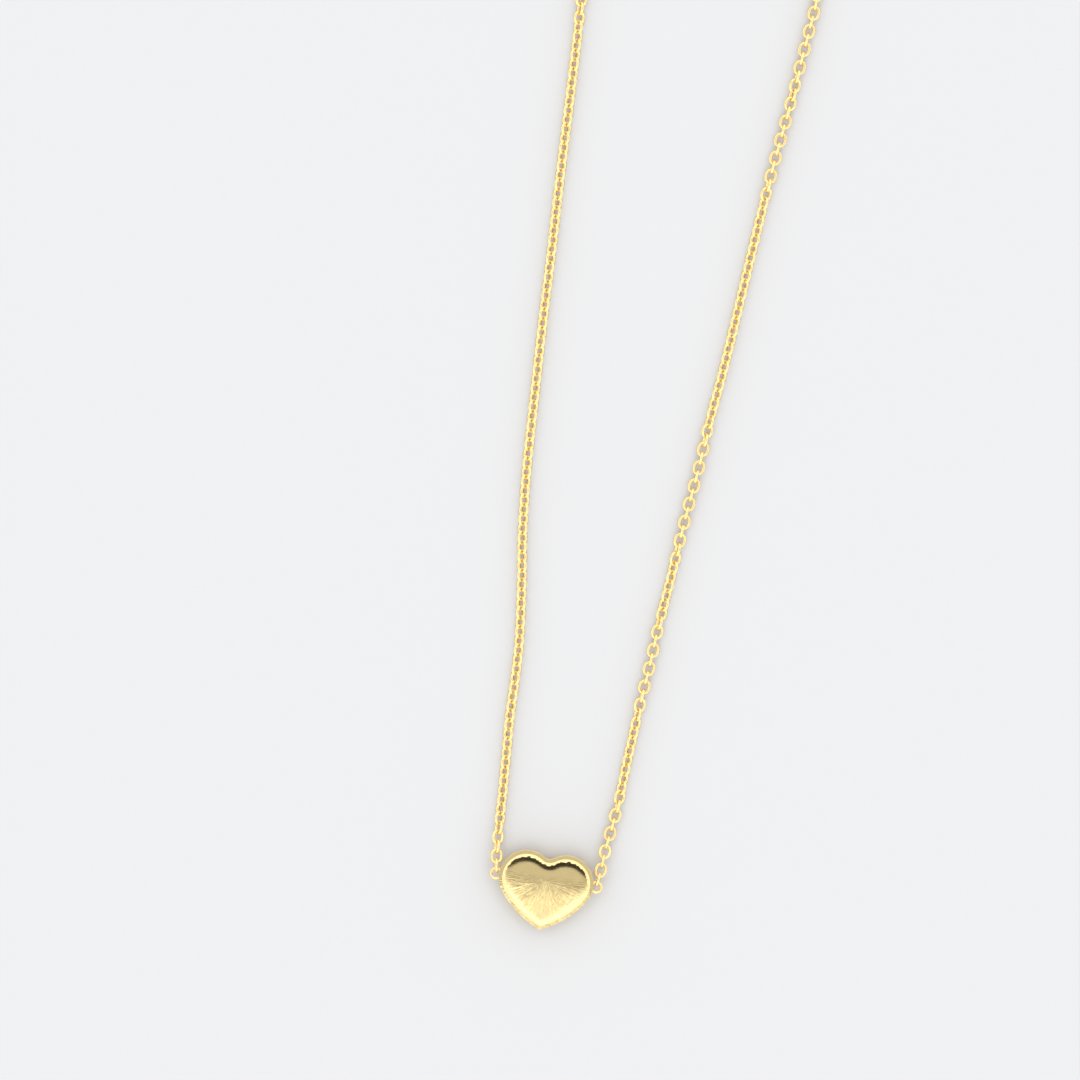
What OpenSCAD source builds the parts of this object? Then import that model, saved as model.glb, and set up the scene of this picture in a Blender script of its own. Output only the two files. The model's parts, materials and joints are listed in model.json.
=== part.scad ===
// Heart necklace: a small polished heart held by a fine cable chain at both sides.
// Millimetres. The heart lies on its flat back with its tip towards -Y, and the chain runs
// along +Y on the same surface. The origin is under the middle of the heart and its loops.

/* [Heart] */
// Width of the heart across both lobes
heart_w = 7.9; // [7.2:0.1:9.6]
// Height of the heart from its tip to the top of the lobes
heart_h = 6.4; // [5.8:0.1:7.7]
// Thickness of the heart, from the flat back to the middle of the front
heart_t = 2.4; // [2:0.1:3]
// Radius of each lobe
lobe_r = 2.3; // [2.1:0.05:2.5]
// Radius of the two nearly straight lower sides
side_r = 8; // [7:0.5:20]
// Radius of the rounded notch between the lobes
cleft_r = 0.6; // [0.3:0.05:0.8]
// Wall of the two pressed shells
shell_wall = 0.28; // [0.2:0.02:0.4]
// How far the middle of the front stands above its rim
front_crown = 0.4; // [0.2:0.05:0.6]

/* [Side loops] */
// Outside width of the flat loop on each side of the heart
loop_d = 1.08; // [1:0.02:1.3]
// Wire of the side loops
loop_wire = 0.24; // [0.2:0.01:0.26]
// How far the middle of a loop stands out from the heart's side
loop_stand = 0.25; // [0.2:0.05:0.4]
// Height of the loops above the middle of the heart
loop_y = 0.93; // [0.6:0.01:1.2]

/* [Chain] */
// Outside length of one link
link_len = 1.34; // [1.25:0.01:1.6]
// Outside width of one link
link_w = 1.06; // [1:0.01:1.2]
// Wire of the links
wire = 0.25; // [0.2:0.01:0.27]
// Least clearance between two pieces that hang in each other
link_play = 0.04; // [0.03:0.01:0.06]
// Where the middle fold line crosses the chain
fold_1_y = 45; // [42:1:56]
// Where the upper fold line crosses the chain
fold_2_y = 76; // [74:0.5:77]

/* [Coil] */
// Distance between two neighbouring turns of the coiled chain
turn_gap = 1.3; // [1.2:0.05:1.5]

/* [Clasp] */
// Radius of the middle line of the spring ring's tube
clasp_r = 2.2; // [2.1:0.05:2.6]
// Outside width of the tube
tube_d = 1; // [0.9:0.05:1.1]
// Wall of the tube
tube_wall = 0.17; // [0.14:0.01:0.22]
// Running clearance of the bolt in the tube
bolt_play = 0.03; // [0.02:0.01:0.05]
// How far the bolt slides back, in degrees around the ring
bolt_travel = 44; // [36:1:46]
// Outside width of the catch ring on the free end of the chain
catch_d = 3.2; // [3:0.1:3.6]
// Wire of the catch ring
catch_wire = 0.42; // [0.36:0.02:0.46]
// Outside width of the jump ring between the clasp and the chain
jump_d = 2.36; // [2.2:0.02:2.8]
// Wire of the jump ring
jump_wire = 0.36; // [0.3:0.02:0.4]
// Outside width of the eyelet soldered to the clasp
eyelet_d = 1.3; // [1.2:0.02:1.5]
// Wire of the eyelet
eyelet_wire = 0.3; // [0.26:0.02:0.34]

/* [Hidden] */
gold = "goldenrod";
pale_gold = "khaki";
steel = "silver";
$fn = 48;

// Heart outline: two lobes, two long side arcs and a rounded notch, all tangent
lobe_x = heart_w / 2 - lobe_r;
lobe_y = heart_h / 2 - lobe_r;
tip_y = -heart_h / 2;
tip_to_lobe = norm([lobe_x, lobe_y - tip_y]);
along = (side_r ^ 2 - (side_r - lobe_r) ^ 2 + tip_to_lobe ^ 2) / (2 * tip_to_lobe);
across = sqrt(side_r ^ 2 - along ^ 2);
// Centre of the arc that makes the left side
side_c = [
    (across * (lobe_y - tip_y) - along * lobe_x) / tip_to_lobe,
    tip_y + (along * (lobe_y - tip_y) + across * lobe_x) / tip_to_lobe
];
cleft_y = lobe_y + sqrt((lobe_r + cleft_r) ^ 2 - lobe_x ^ 2);
crown_r = ((heart_w / 2) ^ 2 + front_crown ^ 2) / (2 * front_crown);
seam_z = heart_t / 2;
past = 1;

// Side loops
loop_r = (loop_d - loop_wire) / 2;
loop_x = heart_w / 2 + loop_stand;
hang_y = loop_y + loop_r;

// Chain: bar_len is from one end bar of a link to the other, hold_gap from a bar to the next
bar_len = link_len - wire;
hold_gap = wire + link_play;
max_pitch = bar_len - hold_gap;
link_r = (link_w - wire) / 2;
loop_hold = (wire + loop_wire) / 2 + link_play;
floor_gap = 0.01;

// Clasp heights: both rings lean until they stand on the table with their middles level
clasp_z = 1.1;
catch_r = (catch_d - catch_wire) / 2;
jump_r = (jump_d - jump_wire) / 2;
eyelet_r = (eyelet_d - eyelet_wire) / 2;
catch_lean = asin((clasp_z - floor_gap - catch_wire / 2) / catch_r);
jump_lean = asin((clasp_z - floor_gap - jump_wire / 2) / jump_r);
catch_slack = 0.25;
bore_r = tube_d / 2 - tube_wall;
bolt_r = bore_r - bolt_play;
catch_at = clasp_r - tube_d / 2 - catch_wire / 2 + catch_r - catch_slack;
eyelet_at = clasp_r + tube_d / 2 + eyelet_r - 0.1;
jump_at = eyelet_at + eyelet_r - (eyelet_wire + jump_wire) / 2 - link_play + jump_r;

// Coil: both strands wind clockwise towards the clasp, the left one outside the right one
coil_c = [-4, 94.8];
coil_r = 13.2;
coil_step = 15;
left_turn = 522;
right_turn = 468;
bend_r = 2.3;
left_end = catch_at + catch_r - (catch_wire + wire) / 2 - link_play;
right_end = jump_at + jump_r - (jump_wire + wire) / 2 - link_play;

function around(r, a) = coil_c + r * [cos(a), sin(a)];
// Radius of the turns after a winding in degrees, counted from the coil's left
function turn_r(start_r, winding) = start_r - turn_gap * winding / 180;
function turns(start_r, from, to) = let (n = ceil((to - from) / coil_step)) [
    for (i = [0:n]) let (w = from + (to - from) * i / n) around(turn_r(start_r, w), 180 - w)
];
// The last bend turns the strand from its winding to the clasp, as far as bend_turn
function bend_turn(r) = 180 - acos(bend_r / (r - bend_r));
function run_in(r, winding, end) = let (a = 180 - winding, sweep = bend_turn(r), n = 3) concat(
    [for (i = [1:n]) around(r - bend_r, a) + bend_r * [cos(a - sweep * i / n), sin(a - sweep * i / n)]],
    [around(end, a + 90 - sweep)]
);
left_in = 270 - left_turn - bend_turn(turn_r(coil_r, left_turn));
right_in = 270 - right_turn - bend_turn(turn_r(coil_r - turn_gap, right_turn));

left_route = concat([
    [-loop_x, hang_y - loop_hold], [-loop_x - 0.2, 2.5], [-loop_x - 0.3, 4.2], [-4.6, 7.6], [-4.75, 11],
    [-4.9, 14], [-4.9, 17.5], [-5, 20.5], [-5.5, 25.5], [-5.9, 28.5], [-6.2, 32], [-6.4, 35.2],
    [-6.55, 40], [-6.75, 47], [-6.85, 53], [-7, 59], [-7.1, 65.5], [-7.25, 72], [-7.6, 76.5],
    [-9.4, 80.3], [-12.2, 84], [-14.9, 87.7], [-16.7, 91.4]
], turns(coil_r, 0, left_turn), run_in(turn_r(coil_r, left_turn), left_turn, left_end));

right_route = concat([
    [loop_x, hang_y - loop_hold], [loop_x + 0.2, 2.5], [loop_x + 0.3, 4], [4.8, 6], [5.05, 8], [5.25, 11],
    [5.5, 14], [5.7, 16.6], [6.05, 19.8], [6.3, 23], [6.75, 27], [7.05, 30.2], [7.4, 33.4],
    [7.8, 36.6], [8.15, 40.5], [8.7, 45], [9.2, 50], [9.7, 55.2], [10.4, 62], [11.05, 67],
    [11.5, 71], [11.9, 74.5], [12.1, 76.8], [11.6, 79], [10, 80.8], [7.6, 81.8], [4.6, 82.3],
    [1.4, 82.5], [-1.4, 82.6]
], turns(coil_r - turn_gap, -90, right_turn),
    run_in(turn_r(coil_r - turn_gap, right_turn), right_turn, right_end));

// How each strand's links are turned about the chain, as [length along the strand, degrees]
left_rolls = [[0, 0], [5, 45], [70, 45], [75, 0], [80, 0], [86, 45], [300, 45]];
right_rolls = [
    [0, 0], [6, 0], [8.5, 45], [13.5, 45], [16.5, 0], [21, 0], [24, 45], [27, 45], [30, 0],
    [37, 0], [40.5, 45], [58, 45], [61, 0], [66, 0], [68, 30], [70, 0], [83, 0], [89, 45],
    [194, 45], [202, 0], [300, 0]
];

// A smooth curve through a route's points, then its running length
smooth_steps = 8;
function between(a, b, c, d, t) = 0.5 * (2 * b + (c - a) * t + (2 * a - 5 * b + 4 * c - d) * t ^ 2
    + (3 * b - a - 3 * c + d) * t ^ 3);
function smooth(p) = let (n = len(p) - 1) [
    for (i = [0:n - 1], k = [0:smooth_steps - 1])
        between(i == 0 ? 2 * p[0] - p[1] : p[i - 1], p[i], p[i + 1],
            i == n - 1 ? 2 * p[n] - p[n - 1] : p[i + 2], k / smooth_steps),
    p[n]
];
function running(q) = [for (i = 0, s = 0; i < len(q); s = s + norm(q[min(i + 1, len(q) - 1)] - q[i]),
    i = i + 1) s];
function column(keys, q, axis) = [for (i = [0:len(q) - 1]) [keys[i], q[i][axis]]];

// A strand is [x by length, y by length, whole length, lengths at the folds, rolls, end height]
function strand(route, rolls, end_z) = let (
    q = smooth(route), s = running(q),
    by_y = [for (i = [0:len(q) - 1]) if (q[i][1] < coil_c[1] - coil_r - 2) [q[i][1], s[i]]]
) [
    column(s, q, 0), column(s, q, 1), s[len(s) - 1],
    [loop_hold, lookup(fold_1_y, by_y), lookup(fold_2_y, by_y), s[len(s) - 1]], rolls, end_z
];
left = strand(left_route, left_rolls, clasp_z);
right = strand(right_route, right_rolls, clasp_z);

// Height of the chain's middle line: it rests on its own links and climbs to what holds its ends
climb = 4.5;
function ease(t) = let (u = max(0, min(1, t))) (1 - u) ^ 2 * (1 + 2 * u);
function rest_z(roll) = link_r * max(abs(sin(roll)), abs(cos(roll))) + wire / 2 + floor_gap;
function height(st, s) = let (low = rest_z(lookup(s, st[4])))
    low + (seam_z - low) * ease((s - loop_hold) / climb) + (st[5] - low) * ease((st[2] - s) / climb);
function place(st, s) = [lookup(s, st[0]), lookup(s, st[1]), height(st, s)];
// Links from one fold to the next: an even number, so that each fold has a flat link below it
function link_count(st, part) = 2 * ceil((st[3][part + 1] - st[3][part]) / max_pitch / 2);

module ring(r, thick) {
    rotate_extrude() translate([r, 0]) circle(d = thick, $fn = 24);
}

module link() {
    straight = link_len - link_w;
    for (end = [0, 180]) rotate([0, 0, end]) {
        translate([straight / 2, 0, 0]) rotate([0, 0, -90])
            rotate_extrude(angle = 180, $fn = 24) translate([link_r, 0]) circle(d = wire, $fn = 16);
        translate([-straight / 2, link_r, 0]) rotate([0, 90, 0])
            cylinder(d = wire, h = straight, $fn = 16);
    }
}

// Links number first to last of one part of a strand
module links(st, part, first, last) {
    from = st[3][part];
    count = link_count(st, part);
    pitch = (st[3][part + 1] - from) / count;
    for (k = [first:last]) {
        tail = from + (k + 1) * pitch;
        a = place(st, tail - bar_len);
        b = place(st, tail);
        d = b - a;
        roll = lookup(tail - bar_len / 2, st[4]) + (k % 2 == 0 ? 90 : 0);
        translate((a + b) / 2)
            rotate([0, -atan2(d[2], norm([d[0], d[1]])), atan2(d[1], d[0])])
                rotate([roll, 0, 0]) link();
    }
}

function arc(c, r, from, to, steps) = [
    for (i = [0:steps]) let (a = from + (to - from) * i / steps) c + r * [cos(a), sin(a)]
];
// Left half of the outline, from the tip round the lobe to the notch, moved in by inset
function half_outline(inset) = let (
    tip = [-side_c[0], -sqrt((side_r - inset) ^ 2 - side_c[0] ^ 2)],
    to_lobe = [-lobe_x, lobe_y] - side_c,
    touch_a = atan2(to_lobe[1], to_lobe[0]) + 360,
    notch_a = atan2(cleft_y - lobe_y, lobe_x)
) concat(
    arc(side_c, side_r - inset, atan2(tip[1], tip[0]) + 360, touch_a, 8),
    [for (i = [1:24]) arc([-lobe_x, lobe_y], lobe_r - inset, touch_a, notch_a, 24)[i]],
    [for (i = [1:5]) arc([0, cleft_y], cleft_r + inset, notch_a + 180, 270, 5)[i]]
);

module heart_outline(inset) {
    half = half_outline(inset);
    polygon(concat(half, [for (i = [len(half) - 2:-1:1]) [-half[i][0], half[i][1]]]));
}

// A side loop is an open ring whose two ends are soldered to the heart's side
module side_loop(side) {
    difference() {
        translate([side * loop_x, loop_y, seam_z]) ring(loop_r, loop_wire);
        linear_extrude(heart_t) heart_outline(0);
    }
}

module heart_front_shell() {
    color(gold) difference() {
        intersection() {
            translate([0, 0, seam_z]) linear_extrude(heart_t - seam_z) heart_outline(0);
            translate([0, 0, heart_t - crown_r]) sphere(r = crown_r, $fn = 200);
        }
        intersection() {
            translate([0, 0, seam_z - past]) linear_extrude(heart_t + past) heart_outline(shell_wall);
            translate([0, 0, heart_t - crown_r]) sphere(r = crown_r - shell_wall, $fn = 200);
        }
    }
}

module heart_back_shell() {
    color(gold) difference() {
        linear_extrude(seam_z) heart_outline(0);
        translate([0, 0, shell_wall]) linear_extrude(heart_t) heart_outline(shell_wall);
    }
}

module heart_left_loop() {
    color(pale_gold) side_loop(-1);
}

module heart_right_loop() {
    color(pale_gold) side_loop(1);
}

module left_lower_chain() {
    color(pale_gold) links(left, 0, 0, link_count(left, 0) - 2);
}

module left_middle_link() {
    color(gold) links(left, 0, link_count(left, 0) - 1, link_count(left, 0) - 1);
}

module left_upper_chain() {
    color(pale_gold) links(left, 1, 0, link_count(left, 1) - 2);
}

module left_bend_link() {
    color(gold) links(left, 1, link_count(left, 1) - 1, link_count(left, 1) - 1);
}

module left_outer_turns() {
    color(pale_gold) links(left, 2, 0, link_count(left, 2) / 2 - 1);
}

module left_inner_turns() {
    color(pale_gold) links(left, 2, link_count(left, 2) / 2, link_count(left, 2) - 1);
}

module right_lower_chain() {
    color(pale_gold) links(right, 0, 0, link_count(right, 0) - 2);
}

module right_middle_link() {
    color(gold) links(right, 0, link_count(right, 0) - 1, link_count(right, 0) - 1);
}

module right_upper_chain() {
    color(pale_gold) links(right, 1, 0, link_count(right, 1) - 2);
}

module right_bend_link() {
    color(gold) links(right, 1, link_count(right, 1) - 1, link_count(right, 1) - 1);
}

module right_outer_turns() {
    color(pale_gold) links(right, 2, 0, link_count(right, 2) / 2 - 1);
}

module right_inner_turns() {
    color(pale_gold) links(right, 2, link_count(right, 2) / 2, link_count(right, 2) - 1);
}

// Puts a piece at a distance from the clasp's middle, in a direction, at the clasp's height
module at_clasp(direction, distance) {
    translate([coil_c[0], coil_c[1], clasp_z]) rotate([0, 0, direction]) translate([distance, 0, 0])
        children();
}

module catch_ring() {
    color(gold) at_clasp(left_in, catch_at) rotate([catch_lean, 0, 0]) ring(catch_r, catch_wire);
}

module clasp_jump_ring() {
    color(gold) at_clasp(right_in, jump_at) rotate([jump_lean, 0, 0]) ring(jump_r, jump_wire);
}

module clasp_eyelet() {
    color(gold) difference() {
        at_clasp(right_in, eyelet_at) ring(eyelet_r, eyelet_wire);
        at_clasp(right_in, 0) ring(clasp_r, tube_d);
    }
}

// Angles around the clasp, counted from the eyelet: the mouth, the bolt, its knob and its slot
mouth_from = 150;
bolt_tip = 8;
mouth_to = mouth_from + bolt_travel - bolt_tip;
bolt_from = mouth_from - bolt_tip;
knob_at = mouth_to + 19;
bolt_to = knob_at + 35;
knob_d = 0.5;
knob_neck = 0.3;
knob_reach = 0.75;
spring_to = 342;

module arc_rod(r, thick, from, to) {
    rotate([0, 0, from]) rotate_extrude(angle = to - from) translate([r, 0]) circle(d = thick, $fn = 24);
}

module clasp_tube() {
    color(gold) at_clasp(right_in, 0) difference() {
        ring(clasp_r, tube_d);
        arc_rod(clasp_r, 2 * bore_r, bolt_from - 4, spring_to);
        rotate([0, 0, mouth_from]) rotate_extrude(angle = mouth_to - mouth_from)
            translate([clasp_r - tube_d, -tube_d]) square(2 * tube_d);
        rotate([0, 0, mouth_to]) rotate_extrude(angle = knob_at + bolt_travel + 8 - mouth_to)
            translate([clasp_r, -knob_neck / 2 - bolt_play]) square([tube_d, knob_neck + 2 * bolt_play]);
    }
}

module clasp_bolt() {
    color(pale_gold) at_clasp(right_in, 0) {
        arc_rod(clasp_r, 2 * bolt_r, bolt_from, bolt_to);
        rotate([0, 0, knob_at]) translate([clasp_r, 0, 0]) rotate([0, 90, 0]) {
            cylinder(d = knob_neck, h = knob_reach + 0.1, $fn = 24);
            translate([0, 0, knob_reach]) sphere(d = knob_d, $fn = 24);
        }
    }
}

// The spring's wire winds around the middle of the tube, behind the bolt
spring_wire = 0.1;
spring_turns = 13;
spring_steps = 10;
spring_sides = 6;
module clasp_spring() {
    coil = bore_r - bolt_play - spring_wire / 2;
    rings = spring_turns * spring_steps;
    sweep = spring_to - 3 - (bolt_to + 3);
    function wire_point(i, k) = let (
        a = bolt_to + 3 + sweep * i / rings, w = 360 * i / spring_steps, v = 360 * k / spring_sides,
        r = clasp_r + (coil + spring_wire / 2 * cos(v)) * cos(w),
        z = (coil + spring_wire / 2 * cos(v)) * sin(w),
        lean = spring_wire / 2 * sin(v) / clasp_r * 180 / PI
    ) [r * cos(a + lean), r * sin(a + lean), z];
    color(steel) at_clasp(right_in, 0) polyhedron(
        points = [for (i = [0:rings], k = [0:spring_sides - 1]) wire_point(i, k)],
        faces = concat(
            [[for (k = [spring_sides - 1:-1:0]) k]],
            [for (i = [0:rings - 1], k = [0:spring_sides - 1])
                let (m = (k + 1) % spring_sides, p = i * spring_sides)
                [p + k, p + m, p + spring_sides + m, p + spring_sides + k]],
            [[for (k = [0:spring_sides - 1]) rings * spring_sides + k]]
        ));
}

heart_front_shell();
heart_back_shell();
heart_left_loop();
heart_right_loop();
left_lower_chain();
left_middle_link();
left_upper_chain();
left_bend_link();
left_outer_turns();
left_inner_turns();
right_lower_chain();
right_middle_link();
right_upper_chain();
right_bend_link();
right_outer_turns();
right_inner_turns();
catch_ring();
clasp_jump_ring();
clasp_eyelet();
clasp_tube();
clasp_bolt();
clasp_spring();
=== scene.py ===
# A fine gold chain with a small polished heart bead, lying on a white table.
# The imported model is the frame. Pieces are made in millimetres and turned to metres once, in new_piece.
import json
import math

import bmesh
import bpy
from mathutils import Euler, Matrix, Vector
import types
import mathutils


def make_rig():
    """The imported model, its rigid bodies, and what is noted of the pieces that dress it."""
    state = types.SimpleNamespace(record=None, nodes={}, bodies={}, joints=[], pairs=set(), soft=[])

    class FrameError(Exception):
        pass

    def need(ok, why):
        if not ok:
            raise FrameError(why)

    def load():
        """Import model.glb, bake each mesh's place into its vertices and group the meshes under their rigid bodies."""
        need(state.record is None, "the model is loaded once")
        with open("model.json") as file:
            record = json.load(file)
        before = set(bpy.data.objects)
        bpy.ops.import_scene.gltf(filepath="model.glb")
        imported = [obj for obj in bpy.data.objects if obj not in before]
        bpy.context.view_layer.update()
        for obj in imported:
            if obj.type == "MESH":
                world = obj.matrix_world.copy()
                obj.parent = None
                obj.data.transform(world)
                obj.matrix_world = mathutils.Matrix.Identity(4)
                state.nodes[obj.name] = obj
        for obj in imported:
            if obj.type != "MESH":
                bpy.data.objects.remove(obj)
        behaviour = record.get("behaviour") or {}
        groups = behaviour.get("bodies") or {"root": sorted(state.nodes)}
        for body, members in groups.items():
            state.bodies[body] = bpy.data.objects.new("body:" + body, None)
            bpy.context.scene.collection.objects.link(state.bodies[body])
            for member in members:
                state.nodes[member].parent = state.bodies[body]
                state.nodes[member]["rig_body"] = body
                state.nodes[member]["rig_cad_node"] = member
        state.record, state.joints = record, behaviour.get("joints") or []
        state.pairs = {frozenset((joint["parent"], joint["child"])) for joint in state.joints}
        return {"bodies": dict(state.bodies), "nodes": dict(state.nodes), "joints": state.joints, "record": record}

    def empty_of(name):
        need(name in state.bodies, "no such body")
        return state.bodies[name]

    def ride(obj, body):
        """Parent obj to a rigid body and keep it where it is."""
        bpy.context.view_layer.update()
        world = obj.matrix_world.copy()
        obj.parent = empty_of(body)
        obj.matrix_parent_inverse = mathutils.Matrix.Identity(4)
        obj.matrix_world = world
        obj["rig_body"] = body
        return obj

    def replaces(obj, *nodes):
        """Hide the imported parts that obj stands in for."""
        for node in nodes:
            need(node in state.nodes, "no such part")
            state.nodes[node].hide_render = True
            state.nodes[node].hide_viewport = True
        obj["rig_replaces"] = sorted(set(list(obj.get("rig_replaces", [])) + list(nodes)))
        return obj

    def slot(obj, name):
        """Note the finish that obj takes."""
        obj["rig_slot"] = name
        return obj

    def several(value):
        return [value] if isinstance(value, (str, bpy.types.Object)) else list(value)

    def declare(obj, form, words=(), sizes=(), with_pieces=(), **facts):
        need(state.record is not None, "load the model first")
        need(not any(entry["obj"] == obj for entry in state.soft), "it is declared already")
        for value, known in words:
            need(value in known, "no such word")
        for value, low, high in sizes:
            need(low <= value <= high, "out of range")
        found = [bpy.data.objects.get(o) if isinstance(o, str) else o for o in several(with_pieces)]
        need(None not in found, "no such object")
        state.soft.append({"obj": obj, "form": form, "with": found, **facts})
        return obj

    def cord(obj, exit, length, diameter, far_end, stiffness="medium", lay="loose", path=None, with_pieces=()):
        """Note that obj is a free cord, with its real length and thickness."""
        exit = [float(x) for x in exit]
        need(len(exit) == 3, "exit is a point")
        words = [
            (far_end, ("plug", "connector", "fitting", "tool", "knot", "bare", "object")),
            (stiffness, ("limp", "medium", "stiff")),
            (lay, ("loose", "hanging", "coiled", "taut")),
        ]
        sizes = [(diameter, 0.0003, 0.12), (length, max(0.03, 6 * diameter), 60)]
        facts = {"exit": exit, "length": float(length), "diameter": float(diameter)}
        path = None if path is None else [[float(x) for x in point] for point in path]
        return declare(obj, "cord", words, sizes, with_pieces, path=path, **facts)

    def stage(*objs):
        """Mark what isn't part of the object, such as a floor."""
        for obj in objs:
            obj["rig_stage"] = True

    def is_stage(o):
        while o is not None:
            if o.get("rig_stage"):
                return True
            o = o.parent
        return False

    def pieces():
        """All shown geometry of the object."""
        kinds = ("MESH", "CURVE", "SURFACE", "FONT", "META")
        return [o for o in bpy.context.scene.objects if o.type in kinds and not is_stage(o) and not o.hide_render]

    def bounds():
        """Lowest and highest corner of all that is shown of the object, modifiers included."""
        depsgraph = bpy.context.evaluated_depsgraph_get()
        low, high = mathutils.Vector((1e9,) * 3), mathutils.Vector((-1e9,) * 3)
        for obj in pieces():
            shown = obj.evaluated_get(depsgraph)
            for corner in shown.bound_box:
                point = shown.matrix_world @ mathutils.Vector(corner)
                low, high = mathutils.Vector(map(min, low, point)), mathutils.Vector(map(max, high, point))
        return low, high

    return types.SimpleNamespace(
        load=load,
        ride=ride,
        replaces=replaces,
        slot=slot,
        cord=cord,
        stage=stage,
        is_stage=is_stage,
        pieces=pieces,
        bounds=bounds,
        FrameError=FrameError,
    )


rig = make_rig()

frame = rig.load()
cad_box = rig.bounds()

# ---------------------------------------------------------------- Camera
# It looks straight down from half a metre, turned a little, on a 90 mm square of the table.
view_middle = Vector((-4.45, 28.86)) * 0.001
view_width = 0.09
camera_lens = 200
camera_turn = math.radians(8)
camera_data = bpy.data.cameras.new("camera")
camera_data.lens = camera_lens
camera_height = view_width * camera_lens / camera_data.sensor_width
camera = bpy.data.objects.new("camera", camera_data)
camera.location = (view_middle.x, view_middle.y, camera_height)
camera.rotation_euler = Euler((0, 0, camera_turn))
camera_data.clip_start, camera_data.clip_end = 0.01, 10
bpy.context.scene.collection.objects.link(camera)
bpy.context.scene.camera = camera

# ---------------------------------------------------------------- Chain
# A cable chain of oval links, bent from 0.25 mm gold plated wire and each soldered shut. Every link
# hangs in the one before it at a quarter turn. The far end of the chain is put away in a flat coil.
TO_METRES = Matrix.Scale(0.001, 4)
link_len, link_w, wire, link_play = 1.34, 1.06, 0.25, 0.04
wire_sides, bend_steps = 8, 5
heart_w, heart_t = 7.9, 2.4
loop_d, loop_wire, loop_stand, loop_y = 1.08, 0.24, 0.25, 0.93
fold_lines = (45, 76)
coil_x, coil_y, coil_r, coil_step, turn_gap, bend_r = -4, 94.8, 13.2, 15, 1.3, 2.3
left_turn, right_turn = 522, 468
left_end, right_end, clasp_z = 3.645, 4.885, 1.1
climb, floor_gap, smooth_steps, path_step = 4.5, 0.01, 8, 0.8

link_r = (link_w - wire) / 2
bar_len = link_len - wire
max_pitch = bar_len - wire - link_play
loop_r = (loop_d - loop_wire) / 2
loop_x = heart_w / 2 + loop_stand
seam_z = heart_t / 2
first_hold = (wire + loop_wire) / 2 + link_play
first_y = loop_y + loop_r - first_hold


def around(r, a):
    """A point of the coil, from its radius and its angle in degrees."""
    return Vector((coil_x + r * math.cos(math.radians(a)), coil_y + r * math.sin(math.radians(a))))


def turn_r(start_r, winding):
    """The coil's radius after so many degrees of winding: a spiral that closes in by turn_gap."""
    return start_r - turn_gap * winding / 180


def turns(start_r, first, last):
    """The coil's own points, one every coil_step degrees of winding or a little closer."""
    n = math.ceil((last - first) / coil_step)
    windings = [first + (last - first) * i / n for i in range(n + 1)]
    return [around(turn_r(start_r, w), 180 - w) for w in windings]


def bend_turn(r):
    """Degrees that the last small bend turns through before the chain runs to the coil's middle."""
    return 180 - math.degrees(math.acos(bend_r / (r - bend_r)))


def run_in(r, winding, end):
    """The end of a strand: a small bend off the coil, then straight in to its clasp or its ring."""
    a, sweep = 180 - winding, bend_turn(r)
    middle = around(r - bend_r, a)
    bend = []
    for i in (1, 2, 3):
        b = math.radians(a - sweep * i / 3)
        bend.append(middle + bend_r * Vector((math.cos(b), math.sin(b))))
    return bend + [around(end, a + 90 - sweep)]


left_route = [Vector(p) for p in [
    (-loop_x, first_y), (-loop_x - 0.2, 2.5), (-loop_x - 0.3, 4.2), (-4.6, 7.6), (-4.75, 11),
    (-4.9, 14), (-4.9, 17.5), (-5, 20.5), (-5.5, 25.5), (-5.9, 28.5), (-6.2, 32), (-6.4, 35.2),
    (-6.55, 40), (-6.75, 47), (-6.85, 53), (-7, 59), (-7.1, 65.5), (-7.25, 72), (-7.6, 76.5),
    (-9.4, 80.3), (-12.2, 84), (-14.9, 87.7), (-16.7, 91.4),
]] + turns(coil_r, 0, left_turn) + run_in(turn_r(coil_r, left_turn), left_turn, left_end)
right_start_r = coil_r - turn_gap
right_route = [Vector(p) for p in [
    (loop_x, first_y), (loop_x + 0.2, 2.5), (loop_x + 0.3, 4), (4.8, 6), (5.05, 8), (5.25, 11),
    (5.5, 14), (5.7, 16.6), (6.05, 19.8), (6.3, 23), (6.75, 27), (7.05, 30.2), (7.4, 33.4),
    (7.8, 36.6), (8.15, 40.5), (8.7, 45), (9.2, 50), (9.7, 55.2), (10.4, 62), (11.05, 67),
    (11.5, 71), (11.9, 74.5), (12.1, 76.8), (11.6, 79), (10, 80.8), (7.6, 81.8), (4.6, 82.3),
    (1.4, 82.5), (-1.4, 82.6),
]] + turns(right_start_r, -90, right_turn) + run_in(
    turn_r(right_start_r, right_turn), right_turn, right_end)
left_rolls = [(0, 0), (5, 45), (70, 45), (75, 0), (80, 0), (86, 45), (300, 45)]
right_rolls = [
    (0, 0), (6, 0), (8.5, 45), (13.5, 45), (16.5, 0), (21, 0), (24, 45), (27, 45), (30, 0),
    (37, 0), (40.5, 45), (58, 45), (61, 0), (66, 0), (68, 30), (70, 0), (83, 0), (89, 45),
    (194, 45), (202, 0), (300, 0),
]


def lookup(key, table):
    """The value at a key, on straight lines between the pairs of a table."""
    for (a, x), (b, y) in zip(table, table[1:]):
        if key <= b:
            return x + (y - x) * max(0, key - a) / (b - a)
    return table[-1][1]


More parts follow.
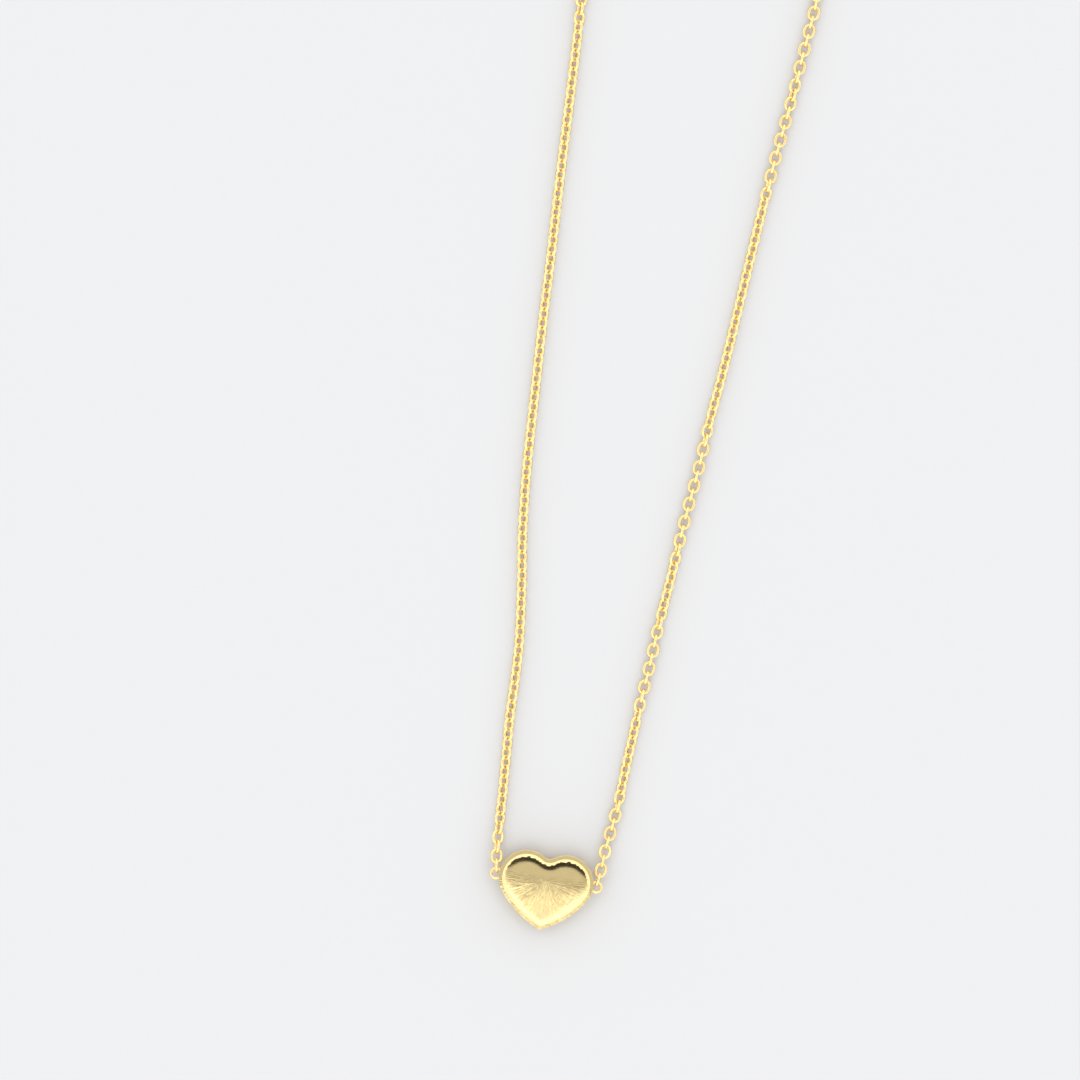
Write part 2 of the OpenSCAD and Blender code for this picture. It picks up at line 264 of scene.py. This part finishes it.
class Strand:
    """The middle line of one side of the chain, from the heart's loop to the clasp."""

    def __init__(self, route, rolls):
        p = [2 * route[0] - route[1], *route, 2 * route[-1] - route[-2]]
        self.line = []
        for a, b, c, d in zip(p, p[1:], p[2:], p[3:]):
            for k in range(smooth_steps):
                t = k / smooth_steps
                self.line.append(0.5 * (2 * b + (c - a) * t + (2 * a - 5 * b + 4 * c - d) * t**2
                                        + (3 * b - a - 3 * c + d) * t**3))
        self.line.append(route[-1])
        self.along = [0]
        for a, b in zip(self.line, self.line[1:]):
            self.along.append(self.along[-1] + (b - a).length)
        self.rolls = rolls
        by_y = [(q.y, s) for q, s in zip(self.line, self.along) if q.y < coil_y - coil_r - 2]
        self.folds = [first_hold, *(lookup(y, by_y) for y in fold_lines), self.along[-1]]

    def height(self, s):
        """Height of the strand's middle: on the table, and up to the loop and the clasp at its ends."""
        roll = math.radians(lookup(s, self.rolls))
        low = link_r * max(abs(math.sin(roll)), abs(math.cos(roll))) + wire / 2 + floor_gap
        start, end = (max(0, min(1, t / climb)) for t in (s - first_hold, self.along[-1] - s))
        rise = [(1 - t) ** 2 * (1 + 2 * t) for t in (start, end)]
        return low + (seam_z - low) * rise[0] + (clasp_z - low) * rise[1]

    def place(self, s):
        """The point of the strand at a length along it."""
        x = lookup(s, [(a, q.x) for a, q in zip(self.along, self.line)])
        y = lookup(s, [(a, q.y) for a, q in zip(self.along, self.line)])
        return Vector((x, y, self.height(s)))

    def links(self, part):
        """How each link of a part lies, as a matrix, from one fold line to the next."""
        first, last = self.folds[part], self.folds[part + 1]
        count = 2 * math.ceil((last - first) / max_pitch / 2)
        for k in range(count):
            tail = first + (k + 1) * (last - first) / count
            a, b = self.place(tail - bar_len), self.place(tail)
            d = b - a
            roll = lookup(tail - bar_len / 2, self.rolls) + (90 if k % 2 == 0 else 0)
            yield (Matrix.Translation((a + b) / 2)
                   @ Matrix.Rotation(math.atan2(d.y, d.x), 4, "Z")
                   @ Matrix.Rotation(-math.atan2(d.z, d.xy.length), 4, "Y")
                   @ Matrix.Rotation(math.radians(roll), 4, "X"))

    def path(self, part):
        """The middle line of a part, in metres, as the cord's own path."""
        first, last = self.folds[part], self.folds[part + 1]
        n = math.ceil((last - first) / path_step)
        return [self.place(first + (last - first) * i / n) * 0.001 for i in range(n + 1)]


def new_piece(name, made, material, body, cad_nodes, slot):
    """One finished piece: the mesh in metres, its material, the body it rides on, what it replaces."""
    mesh = bpy.data.meshes.new(name)
    made.to_mesh(mesh)
    made.free()
    mesh.transform(TO_METRES)
    mesh.materials.append(material)
    mesh.polygons.foreach_set("use_smooth", [True] * len(mesh.polygons))
    piece = bpy.data.objects.new(name, mesh)
    bpy.context.scene.collection.objects.link(piece)
    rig.ride(piece, body)
    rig.replaces(piece, *cad_nodes)
    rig.slot(piece, slot)
    return piece


def link_template():
    """One link of wire, bent round two half turns with a short straight between them."""
    made = bmesh.new()
    straight = link_len - link_w
    ring = bmesh.ops.create_circle(made, segments=wire_sides, radius=wire / 2)["verts"]
    stand = Matrix.Translation((-straight / 2, -link_r, 0)) @ Matrix.Rotation(math.pi / 2, 4, "Y")
    bmesh.ops.transform(made, matrix=stand, verts=ring)
    edges = made.edges[:]
    for side in (1, -1):
        out = bmesh.ops.extrude_edge_only(made, edges=edges)["geom"]
        moved = [g for g in out if isinstance(g, bmesh.types.BMVert)]
        bmesh.ops.translate(made, vec=(side * straight, 0, 0), verts=moved)
        edges = [g for g in out if isinstance(g, bmesh.types.BMEdge)]
        spun = bmesh.ops.spin(made, geom=edges, cent=(side * straight / 2, 0, 0), axis=(0, 0, 1),
                              angle=math.pi, steps=bend_steps)["geom_last"]
        edges = [g for g in spun if isinstance(g, bmesh.types.BMEdge)]
    bmesh.ops.remove_doubles(made, verts=made.verts, dist=0.001)
    bmesh.ops.recalc_face_normals(made, faces=made.faces)
    mesh = bpy.data.meshes.new("link")
    made.to_mesh(mesh)
    made.free()
    return mesh


def add_node(tree, kind, links=(), **values):
    """A shader node with its settings, its socket values and what is linked into it."""
    n = tree.nodes.new(kind)
    for name, value in values.items():
        if hasattr(n, name):
            setattr(n, name, value)
        else:
            n.inputs[name.replace("_", " ")].default_value = value
    for socket, source in dict(links).items():
        tree.links.new(source, n.inputs[socket])
    return n


def polish_group():
    """What polishing leaves on plated metal: cloudy tone, hair scratches and pin-head specks."""
    g = bpy.data.node_groups.new("polishing marks", "ShaderNodeTree")
    for name, value in (("Grain", 900.0), ("Scratch Depth", 0.3), ("Haze", 0.1), ("Shine", 0.12)):
        socket = g.interface.new_socket(name, in_out="INPUT", socket_type="NodeSocketFloat")
        socket.default_value = value
    for name in ("Tone", "Roughness", "Height"):
        g.interface.new_socket(name, in_out="OUTPUT", socket_type="NodeSocketFloat")
    given, out = g.nodes.new("NodeGroupInput"), g.nodes.new("NodeGroupOutput")
    where = add_node(g, "ShaderNodeTexCoord").outputs["Object"]
    cloud = add_node(g, "ShaderNodeTexNoise", {"Vector": where, "Scale": given.outputs["Grain"]},
                     Detail=3.0, Roughness=0.6)
    turned = add_node(g, "ShaderNodeMapping", {"Vector": where}, Rotation=(0.4, 0.3, 0.6),
                      Scale=(1, 14, 4))
    hair = add_node(g, "ShaderNodeTexNoise", {"Vector": turned.outputs[0],
                                              "Scale": given.outputs["Grain"]},
                    Detail=4.0, Roughness=0.7, Distortion=0.4)
    lines = add_node(g, "ShaderNodeMapRange", {"Value": hair.outputs["Fac"]}, From_Min=0.58,
                     From_Max=0.74)
    fine = add_node(g, "ShaderNodeMath", {0: given.outputs["Grain"]}, operation="MULTIPLY")
    fine.inputs[1].default_value = 3
    cells = add_node(g, "ShaderNodeTexVoronoi", {"Vector": where, "Scale": fine.outputs[0]})
    specks = add_node(g, "ShaderNodeMapRange", {"Value": cells.outputs["Distance"]}, From_Min=0.05,
                      From_Max=0.12, To_Min=1.0, To_Max=0.0)
    marks = add_node(g, "ShaderNodeMath", {0: lines.outputs[0], 1: specks.outputs[0]},
                     operation="MAXIMUM")
    depth = add_node(g, "ShaderNodeMath", {0: marks.outputs[0], 1: given.outputs["Scratch Depth"]},
                     operation="MULTIPLY")
    dull = add_node(g, "ShaderNodeMath", {0: cloud.outputs["Fac"], 1: given.outputs["Haze"]},
                    operation="MULTIPLY")
    rough = add_node(g, "ShaderNodeMath", {0: given.outputs["Shine"], 1: dull.outputs[0]},
                     operation="ADD")
    lower = add_node(g, "ShaderNodeMath", {0: cloud.outputs["Fac"], 1: depth.outputs[0]},
                     operation="SUBTRACT")
    g.links.new(cloud.outputs["Fac"], out.inputs["Tone"])
    g.links.new(rough.outputs[0], out.inputs["Roughness"])
    g.links.new(lower.outputs[0], out.inputs["Height"])
    return g


polish = polish_group()


def plated(name, bright, deep, bump, **marks):
    """A polished plated metal: its two tones mixed by the cloud, with the polishing marks on it."""
    material = bpy.data.materials.new(name)
    material.use_nodes = True
    tree = material.node_tree
    shader = tree.nodes["Principled BSDF"]
    shader.inputs["Metallic"].default_value = 1.0
    worn = add_node(tree, "ShaderNodeGroup", node_tree=polish)
    for socket, value in marks.items():
        worn.inputs[socket.replace("_", " ")].default_value = value
    tone = add_node(tree, "ShaderNodeMix", data_type="RGBA")
    tone.inputs[6].default_value = (*deep, 1)
    tone.inputs[7].default_value = (*bright, 1)
    tree.links.new(worn.outputs["Tone"], tone.inputs["Factor"])
    tree.links.new(tone.outputs[2], shader.inputs["Base Color"])
    tree.links.new(worn.outputs["Roughness"], shader.inputs["Roughness"])
    raised = add_node(tree, "ShaderNodeBump", {"Height": worn.outputs["Height"]}, Strength=bump,
                      Distance=0.00005)
    tree.links.new(raised.outputs[0], shader.inputs["Normal"])
    return material


link_gold = plated("plated link wire", bright=(1.0, 0.80, 0.42), deep=(1.0, 0.71, 0.26),
                   bump=0.15, Grain=2500.0, Scratch_Depth=0.3, Haze=0.12, Shine=0.16)
one_link = link_template()
end_pieces = {
    "left": ["catch_ring"],
    "right": ["clasp_jump_ring", "clasp_eyelet", "clasp_tube", "clasp_bolt", "clasp_spring"],
}
strands = {"left": Strand(left_route, left_rolls), "right": Strand(right_route, right_rolls)}
for side, strand in strands.items():
    for part, (body, cad_nodes, lay) in enumerate((
            (f"{side}_lower", (f"{side}_lower_chain", f"{side}_middle_link"), "loose"),
            (f"{side}_upper", (f"{side}_upper_chain", f"{side}_bend_link"), "loose"),
            (f"{side}_end", (f"{side}_outer_turns", f"{side}_inner_turns"), "coiled"))):
        made = bmesh.new()
        for lies in strand.links(part):
            before = len(made.verts)
            made.from_mesh(one_link)
            made.verts.ensure_lookup_table()
            bmesh.ops.transform(made, matrix=lies, verts=made.verts[before:])
        chain = new_piece(f"{body}_links", made, link_gold, body, cad_nodes, "link_wire")
        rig.cord(chain, exit=strand.place(strand.folds[part]) * 0.001,
                length=(strand.folds[part + 1] - strand.folds[part]) * 0.001,
                diameter=link_w * 0.001, far_end="object", stiffness="limp", lay=lay,
                path=strand.path(part), with_pieces=end_pieces[side] if part == 2 else ())

# ---------------------------------------------------------------- Heart
# Two shells pressed from thin sheet and soldered along the seam round the side, then polished. The
# front is a shallow cushion with a rounded shoulder, and the back is flat with a rounded edge.
heart_h, lobe_r, side_r, cleft_r, shell_wall = 6.4, 2.3, 8, 0.6, 0.28
side_steps, lobe_steps, cleft_steps = 14, 32, 6
shoulder_r, shoulder_drop = 0.2, 0.1
cushion_width, cushion_rise, dome_drop = 0.85, 0.085, 0.08
back_round, cavity_depth = 0.3, 0.6
side_wall, grid, weld = 0.5, 0.12, 0.002
lobe_x, lobe_y, tip_y = heart_w / 2 - lobe_r, heart_h / 2 - lobe_r, -heart_h / 2
tip_to_lobe = math.hypot(lobe_x, lobe_y - tip_y)
along = (side_r**2 - (side_r - lobe_r) ** 2 + tip_to_lobe**2) / (2 * tip_to_lobe)
across = math.sqrt(side_r**2 - along**2)
side_c = Vector((
    (across * (lobe_y - tip_y) - along * lobe_x) / tip_to_lobe,
    tip_y + (along * (lobe_y - tip_y) + across * lobe_x) / tip_to_lobe, 0))
cleft_y = lobe_y + math.sqrt((lobe_r + cleft_r) ** 2 - lobe_x**2)


def turn_between(middle, a, b):
    """Degrees from direction a to direction b round a middle, clockwise."""
    angles = [math.degrees(math.atan2(p.y - middle.y, p.x - middle.x)) for p in (a, b)]
    return -((angles[0] - angles[1]) % 360)


def heart_plate(z, up):
    """The heart's outline as one flat face: its left side spun round three arcs, then mirrored."""
    made = bmesh.new()
    last = made.verts.new((0, tip_y, z))
    lobe, notch = Vector((-lobe_x, lobe_y, 0)), Vector((0, cleft_y, 0))
    touch = side_c + (lobe - side_c).normalized() * side_r
    dip = lobe + (notch - lobe).normalized() * lobe_r
    bottom = notch - Vector((0, cleft_r, 0))
    arcs = (
        (side_c, turn_between(side_c, last.co, touch), side_steps),
        (lobe, turn_between(lobe, touch, dip), lobe_steps),
        (notch, turn_between(notch, dip, bottom) + 360, cleft_steps),
    )
    for middle, sweep, steps in arcs:
        spun = bmesh.ops.spin(made, geom=[last], cent=(middle.x, middle.y, z), axis=(0, 0, 1),
                              angle=math.radians(sweep), steps=steps)["geom_last"]
        last = next(g for g in spun if isinstance(g, bmesh.types.BMVert))
    bmesh.ops.remove_doubles(made, verts=made.verts, dist=weld)
    bmesh.ops.mirror(made, geom=made.verts[:] + made.edges[:], axis="X", merge_dist=weld)
    bmesh.ops.remove_doubles(made, verts=made.verts, dist=weld)
    plate = bmesh.ops.contextual_create(made, geom=made.edges[:])["faces"]
    if plate[0].normal.z * up < 0:
        bmesh.ops.reverse_faces(made, faces=plate)
    return made


outline_plate = heart_plate(0, 1)
outline = [v.co.xy.copy() for v in outline_plate.faces[:][0].verts]
outline_plate.free()


def from_edge(p):
    """How far in from the outline a point of the face lies."""
    best = heart_w
    for a, b in zip(outline, outline[1:] + outline[:1]):
        d = b - a
        t = max(0, min(1, (p - a).dot(d) / d.length_squared))
        best = min(best, (p - a - d * t).length)
    return best


def round_in(d, radius, drop):
    """How far a rounded edge falls away at a distance in from the outline."""
    return drop * (1 - math.sqrt(max(0, 1 - max(0, 1 - d / radius) ** 2)))


def front_height(p):
    """Height of the front: a wide dome, a cushion that falls off near the edge, and its shoulder."""
    d = from_edge(p)
    cushion = 1 - max(0, min(1, (d - shoulder_r) / cushion_width))
    dome = dome_drop * p.length_squared / (heart_w / 2) ** 2
    ledge = max(0, shoulder_r - d) * 2 * cushion_rise / cushion_width
    return heart_t - dome - cushion_rise * cushion**2 - ledge - round_in(d, shoulder_r, shoulder_drop)


def back_height(p):
    """Height of the back: flat on the table, and rounded up at its edge."""
    return round_in(from_edge(p), back_round, back_round)


def pressed_shell(z, up, insets, height):
    """A pressed shell: a plate's edge drawn up into a side wall, its face shaped, its back hollow."""
    made = heart_plate(z, up)
    face = made.faces[:]
    open_side = bmesh.ops.duplicate(made, geom=face)["geom"]
    open_side = [g for g in open_side if isinstance(g, bmesh.types.BMFace)]
    bmesh.ops.reverse_faces(made, faces=open_side)
    bmesh.ops.remove_doubles(made, verts=made.verts, dist=0.001)
    raised = bmesh.ops.extrude_face_region(made, geom=face)["geom"]
    wall_top = [g for g in raised if isinstance(g, bmesh.types.BMVert)]
    bmesh.ops.translate(made, vec=(0, 0, up * side_wall), verts=wall_top)
    bmesh.ops.delete(made, geom=[f for f in face if f.is_valid], context="FACES")
    top = [g for g in raised if isinstance(g, bmesh.types.BMFace)]
    shaped = set(wall_top)
    reached = 0
    for inset in insets:
        bmesh.ops.inset_region(made, faces=top, thickness=inset - reached, use_even_offset=True)
        shaped.update(v for f in top for v in f.verts)
        reached = inset
    geom = list({g for f in top for g in (f, *f.edges, *f.verts)})
    for normal, reach in ((Vector((1, 0, 0)), heart_w / 2), (Vector((0, 1, 0)), heart_h / 2)):
        for i in range(-int(reach / grid), int(reach / grid) + 1):
            geom = bmesh.ops.bisect_plane(made, geom=geom, plane_co=normal * (i * grid + 0.01),
                                          plane_no=normal)["geom"]
    shaped.update(g for g in geom if isinstance(g, bmesh.types.BMVert))
    for v in shaped:
        v.co.z = height(v.co.xy)
    open_side = [f for f in open_side if f.is_valid]
    bmesh.ops.inset_region(made, faces=open_side, thickness=shell_wall, use_even_offset=True)
    bmesh.ops.translate(made, vec=(0, 0, up * cavity_depth),
                        verts=list({v for f in open_side for v in f.verts}))
    return made


front_insets = [shoulder_r * k for k in (0.04, 0.13, 0.27, 0.46, 0.7, 1)]
front_insets += [shoulder_r + k for k in (0.03, 0.08, 0.14, 0.22)]
back_insets = [back_round * k for k in (0.05, 0.16, 0.34, 0.6, 1, 1.3)]
front = pressed_shell(seam_z, 1, front_insets, front_height)
back = pressed_shell(seam_z, -1, back_insets, back_height)

heart_gold = plated("polished heart plate", bright=(1.0, 0.80, 0.41), deep=(0.97, 0.75, 0.35),
                    bump=0.04, Grain=1400.0, Scratch_Depth=0.5, Haze=0.06, Shine=0.07)

# Strokes of the polishing mop run out from the middle of the face, and show towards the tip.
mop_middle = (0, -0.0009, 0)
strokes = heart_gold.node_tree
out_from = add_node(strokes, "ShaderNodeMapping", {
    "Vector": add_node(strokes, "ShaderNodeTexCoord").outputs["Object"]}, Location=mop_middle)
xyz = add_node(strokes, "ShaderNodeSeparateXYZ", {0: out_from.outputs[0]})
angle = add_node(strokes, "ShaderNodeMath", {0: xyz.outputs["X"], 1: xyz.outputs["Y"]},
                 operation="ARCTAN2")
radius = add_node(strokes, "ShaderNodeVectorMath", {0: out_from.outputs[0]}, operation="LENGTH")
polar = add_node(strokes, "ShaderNodeCombineXYZ", {"X": angle.outputs[0], "Y": radius.outputs["Value"]})
fan = add_node(strokes, "ShaderNodeMapping", {"Vector": polar.outputs[0]}, Scale=(40, 1000, 1))
stroke = add_node(strokes, "ShaderNodeTexNoise", {"Vector": fan.outputs[0]}, Scale=1.0, Detail=3.0,
                  Roughness=0.6)
outer = add_node(strokes, "ShaderNodeMapRange", {"Value": radius.outputs["Value"]},
                 From_Min=0.0012, From_Max=0.0036)
low = add_node(strokes, "ShaderNodeMapRange", {"Value": xyz.outputs["Y"]},
               From_Min=0.0006, From_Max=-0.0018, To_Min=0.05, To_Max=1.0)
share = add_node(strokes, "ShaderNodeMath", {0: outer.outputs[0], 1: low.outputs[0]},
                 operation="MULTIPLY")
level_stroke = add_node(strokes, "ShaderNodeMath", {0: stroke.outputs["Fac"]}, operation="SUBTRACT")
level_stroke.inputs[1].default_value = 0.5
depth = add_node(strokes, "ShaderNodeMath", {0: level_stroke.outputs[0], 1: share.outputs[0]},
                 operation="MULTIPLY")
mopped = add_node(strokes, "ShaderNodeBump", {"Height": depth.outputs[0]}, Strength=0.9,
                  Distance=0.00005)
marks = next(n for n in strokes.nodes if n.bl_idname == "ShaderNodeBump" and n != mopped)
strokes.links.new(mopped.outputs[0], marks.inputs["Normal"])

# The mop polishes the face to a mirror and leaves the steep side wall satin.
facing = add_node(strokes, "ShaderNodeSeparateXYZ", {
    0: add_node(strokes, "ShaderNodeTexCoord").outputs["Normal"]})
satin = add_node(strokes, "ShaderNodeMapRange", {"Value": facing.outputs["Z"]},
                 From_Min=0.55, From_Max=0.9, To_Min=0.42, To_Max=0.0)
surface = strokes.nodes["Principled BSDF"]
mirror = surface.inputs["Roughness"].links[0].from_socket
finish = add_node(strokes, "ShaderNodeMath", {0: satin.outputs[0], 1: mirror}, operation="MAXIMUM")
strokes.links.new(finish.outputs[0], surface.inputs["Roughness"])

new_piece("heart_front", front, heart_gold, "heart", ["heart_front_shell"], "heart_polish")
new_piece("heart_back", back, heart_gold, "heart", ["heart_back_shell"], "heart_polish")

# Side loops: an open ring of the chain's wire, its two ends soldered flat to the heart's side at
# mid height, for the first link of the chain to hang in.
loop_steps, loop_bury = 26, 0.05
loop_half_turn = math.acos(-(loop_stand + loop_bury) / loop_r)
for side, out in (("left", -1), ("right", 1)):
    made = bmesh.new()
    section = bmesh.ops.create_circle(made, cap_ends=True, segments=12, radius=loop_wire / 2)["verts"]
    middle = Vector((out * loop_x, loop_y, seam_z))
    start = (0 if out > 0 else math.pi) - loop_half_turn
    stand = (Matrix.Translation(middle) @ Matrix.Rotation(start, 4, "Z")
             @ Matrix.Translation((loop_r, 0, 0)) @ Matrix.Rotation(math.pi / 2, 4, "X"))
    bmesh.ops.transform(made, matrix=stand, verts=section)
    bmesh.ops.spin(made, geom=made.faces[:], cent=middle, axis=(0, 0, 1),
                   angle=2 * loop_half_turn, steps=loop_steps)
    bmesh.ops.recalc_face_normals(made, faces=made.faces)
    new_piece(f"{side}_side_loop", made, link_gold, "heart", [f"heart_{side}_loop"], "link_wire")

# ---------------------------------------------------------------- Clasp
# A spring ring: a hollow gold tube bent round, with a curved bolt in it that a knob draws back
# against a steel spring. Its eyelet hangs in a jump ring, and a catch ring ends the other side.
clasp_gold = plated("polished clasp plate", bright=(1.0, 0.78, 0.37), deep=(0.96, 0.71, 0.29),
                    bump=0.08, Grain=1800.0, Scratch_Depth=0.4, Haze=0.1, Shine=0.1)
spring_steel = plated("drawn spring wire", bright=(0.66, 0.65, 0.62), deep=(0.5, 0.49, 0.47),
                      bump=0.2, Grain=3000.0, Scratch_Depth=0.6, Haze=0.2, Shine=0.25)
for name in ("catch_ring", "clasp_jump_ring", "clasp_eyelet", "clasp_tube", "clasp_bolt"):
    frame["nodes"][name].data.materials.clear()
    frame["nodes"][name].data.materials.append(clasp_gold)
frame["nodes"]["clasp_spring"].data.materials.clear()
frame["nodes"]["clasp_spring"].data.materials.append(spring_steel)

# ---------------------------------------------------------------- Table and light
# A plain white table under an even, bright studio light. Straight above it is darker, one dark strip
# hangs towards +Y, and the brightest part stands towards -Y.
table = bmesh.new()
bmesh.ops.create_grid(table, x_segments=1, y_segments=1, size=1.5)
table_mesh = bpy.data.meshes.new("table")
table.to_mesh(table_mesh)
table.free()
table_top = bpy.data.objects.new("table", table_mesh)
bpy.context.scene.collection.objects.link(table_top)
table_paint = bpy.data.materials.new("white table")
table_paint.use_nodes = True
table_shader = table_paint.node_tree.nodes["Principled BSDF"]
table_shader.inputs["Base Color"].default_value = (0.53, 0.533, 0.54, 1)
table_shader.inputs["Roughness"].default_value = 0.7
table_mesh.materials.append(table_paint)
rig.stage(table_top)

studio = bpy.data.worlds.new("studio")
studio.use_nodes = True
sky = studio.node_tree
direction = add_node(sky, "ShaderNodeTexCoord").outputs["Generated"]
parts = add_node(sky, "ShaderNodeSeparateXYZ", {0: direction})
from_top = add_node(sky, "ShaderNodeMath", {0: parts.outputs["Z"]}, operation="ARCCOSINE")
from_top = add_node(sky, "ShaderNodeMath", {0: from_top.outputs[0]}, operation="DIVIDE")
from_top.inputs[1].default_value = math.pi / 2
level = add_node(sky, "ShaderNodeMath", {0: parts.outputs["Z"]}, operation="MAXIMUM")
level.inputs[1].default_value = 0.05
lean_x = add_node(sky, "ShaderNodeMath", {0: parts.outputs["X"], 1: level.outputs[0]},
                  operation="DIVIDE")
lean_x = add_node(sky, "ShaderNodeMath", {0: lean_x.outputs[0]}, operation="ABSOLUTE")
lean_y = add_node(sky, "ShaderNodeMath", {0: parts.outputs["Y"], 1: level.outputs[0]},
                  operation="DIVIDE")
along_y = add_node(sky, "ShaderNodeMapRange", {"Value": lean_y.outputs[0]}, From_Min=-1.0, From_Max=1.0)


def stops(source, *pairs):
    """A grey ramp from its stops."""
    ramp = add_node(sky, "ShaderNodeValToRGB", {0: source})
    while len(ramp.color_ramp.elements) < len(pairs):
        ramp.color_ramp.elements.new(1)
    for element, (at, grey) in zip(ramp.color_ramp.elements, pairs):
        element.position = at
        element.color = (grey, grey, grey, 1)
    return ramp.outputs[0]


over = stops(along_y.outputs[0], (0.32, 1), (0.36, 0.6), (0.4, 0.33), (0.44, 0.28), (0.53, 0.27),
             (0.543, 0.015), (0.655, 0.015), (0.672, 0.8))
beside = add_node(sky, "ShaderNodeMapRange", {"Value": lean_x.outputs[0]}, From_Min=0.32, From_Max=0.42)
ceiling = add_node(sky, "ShaderNodeMix", {0: beside.outputs[0], 2: over})
ceiling.inputs[3].default_value = 0.66
falling = stops(from_top.outputs[0], (0.3, 1), (0.6, 0.86), (1, 0.86))
power = add_node(sky, "ShaderNodeMath", {0: ceiling.outputs[0], 1: falling}, operation="MULTIPLY")
power = add_node(sky, "ShaderNodeMath", {0: power.outputs[0]}, operation="MULTIPLY")
power.inputs[1].default_value = 2.4
background = sky.nodes["Background"]
background.inputs["Color"].default_value = (1, 1, 1, 1)
sky.links.new(power.outputs[0], background.inputs["Strength"])
bpy.context.scene.world = studio
lamp = bpy.data.lights.new("overhead lamp", "SUN")
lamp.energy, lamp.angle = 0.6, math.radians(60)
lamp_object = bpy.data.objects.new("overhead lamp", lamp)
lamp_object.visible_glossy = False
bpy.context.scene.collection.objects.link(lamp_object)
bpy.context.scene.view_settings.view_transform = "Standard"

seen_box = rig.bounds()
with open("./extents.json", "w") as sizes:
    json.dump({"cad": [list(c) for c in cad_box], "visual": [list(c) for c in seen_box]}, sizes)
